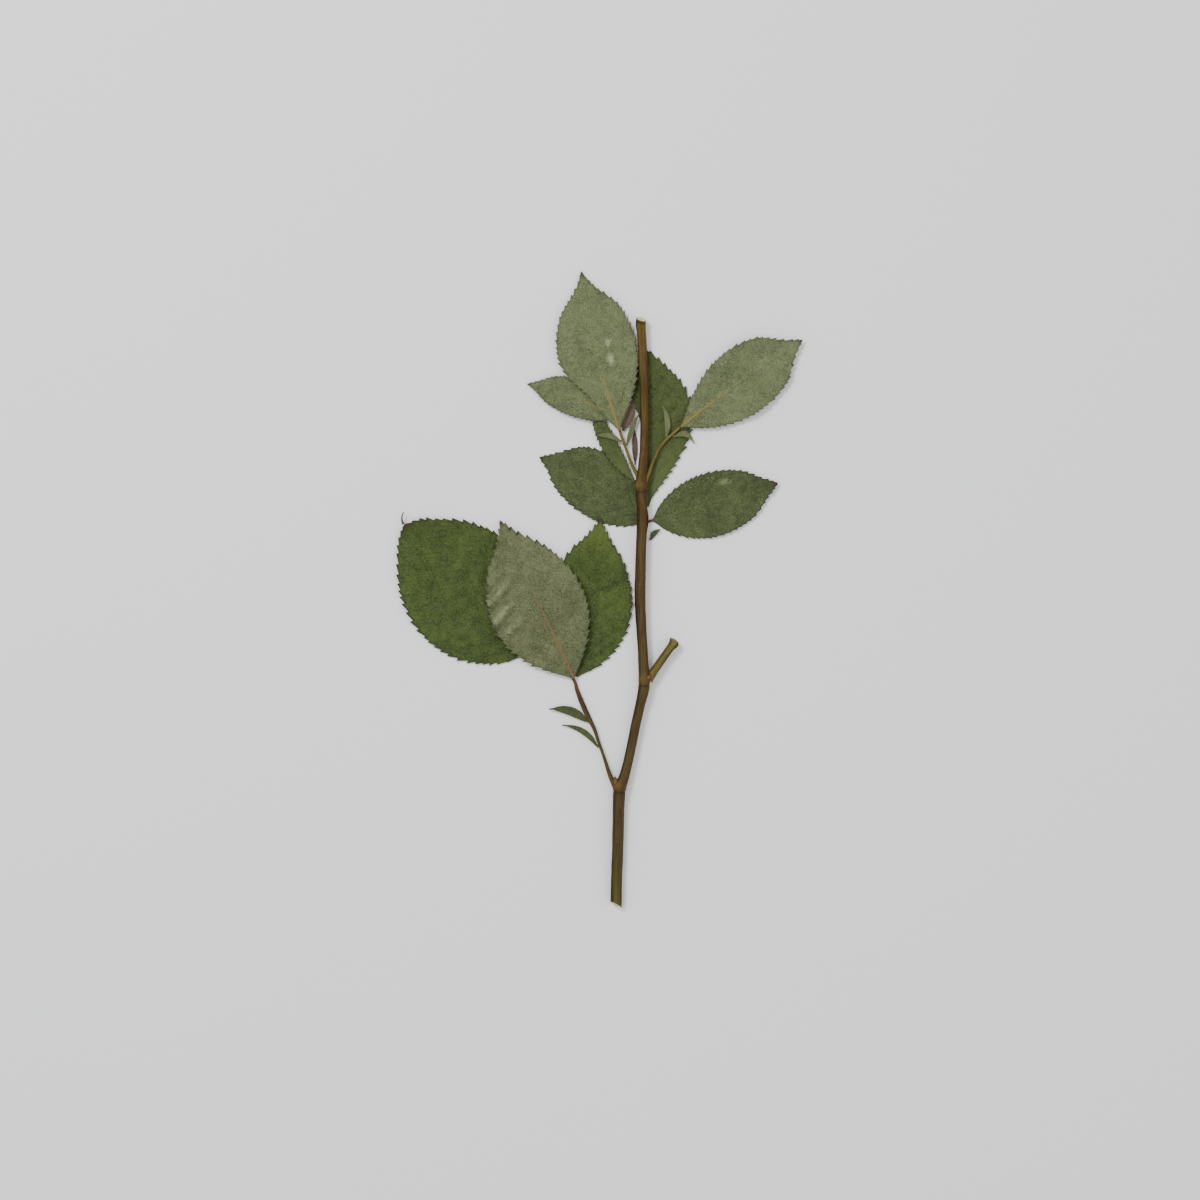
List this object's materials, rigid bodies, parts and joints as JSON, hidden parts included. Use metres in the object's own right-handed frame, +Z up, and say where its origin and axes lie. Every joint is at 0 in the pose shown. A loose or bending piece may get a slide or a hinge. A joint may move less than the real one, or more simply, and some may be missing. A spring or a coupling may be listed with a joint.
{
  "type": "pressed rose sprig",
  "caption": "Dried, pressed leafy rose sprig lying flat: zig-zag woody stem cut at both ends, side twig stub and serrated compound leaves.",
  "frame": {"origin": "on the surface that the sprig lies on, below the middle of its bounding box", "axes": "+Y runs up the stem from butt to top, +Z is up from the surface, +X is to the right seen from above"},
  "size_m": [0.1424, 0.2234, 0.0054],
  "materials": {
    "stem_bark": "dry brown bark with fine lengthwise fibres",
    "twig_bark": "dry olive bark",
    "stalk": "dry tan to reddish stalk",
    "leaf_face": "dried dark green upper leaf face, matt with a faint sheen",
    "leaf_back": "dried pale grey-green leaf underside, matt",
    "stipule": "dried green stipule with brown tips",
    "bud": "dry tan bud scales"
  },
  "bodies": {
    "root": {"main_stem": "stem_bark", "side_twig_stub": "twig_bark", "lower_leaf_stalk": "stalk", "middle_leaf_stalk": "stalk", "upper_left_stalk": "stalk", "upper_right_stalk": "stalk", "lower_leaf_end_leaflet": "leaf_face", "lower_leaf_turned_leaflet": "leaf_back", "lower_leaf_right_leaflet": "leaf_face", "middle_leaf_left_leaflet": "leaf_face", "middle_leaf_right_leaflet": "leaf_face", "middle_leaf_end_leaflet": "leaf_face", "upper_left_end_leaflet": "leaf_back", "upper_left_side_leaflet": "leaf_back", "upper_left_back_leaflet": "leaf_face", "upper_right_leaflet": "leaf_back", "lower_leaf_upper_stipule": "stipule", "lower_leaf_lower_stipule": "stipule", "middle_leaf_stipule": "stipule", "upper_left_outer_stipule": "stipule", "upper_left_inner_stipule": "stipule", "upper_right_inner_stipule": "stipule", "upper_right_outer_stipule": "stipule", "lower_axil_bud": "bud", "twig_base_scale": "bud"}
  },
  "joints": []
}
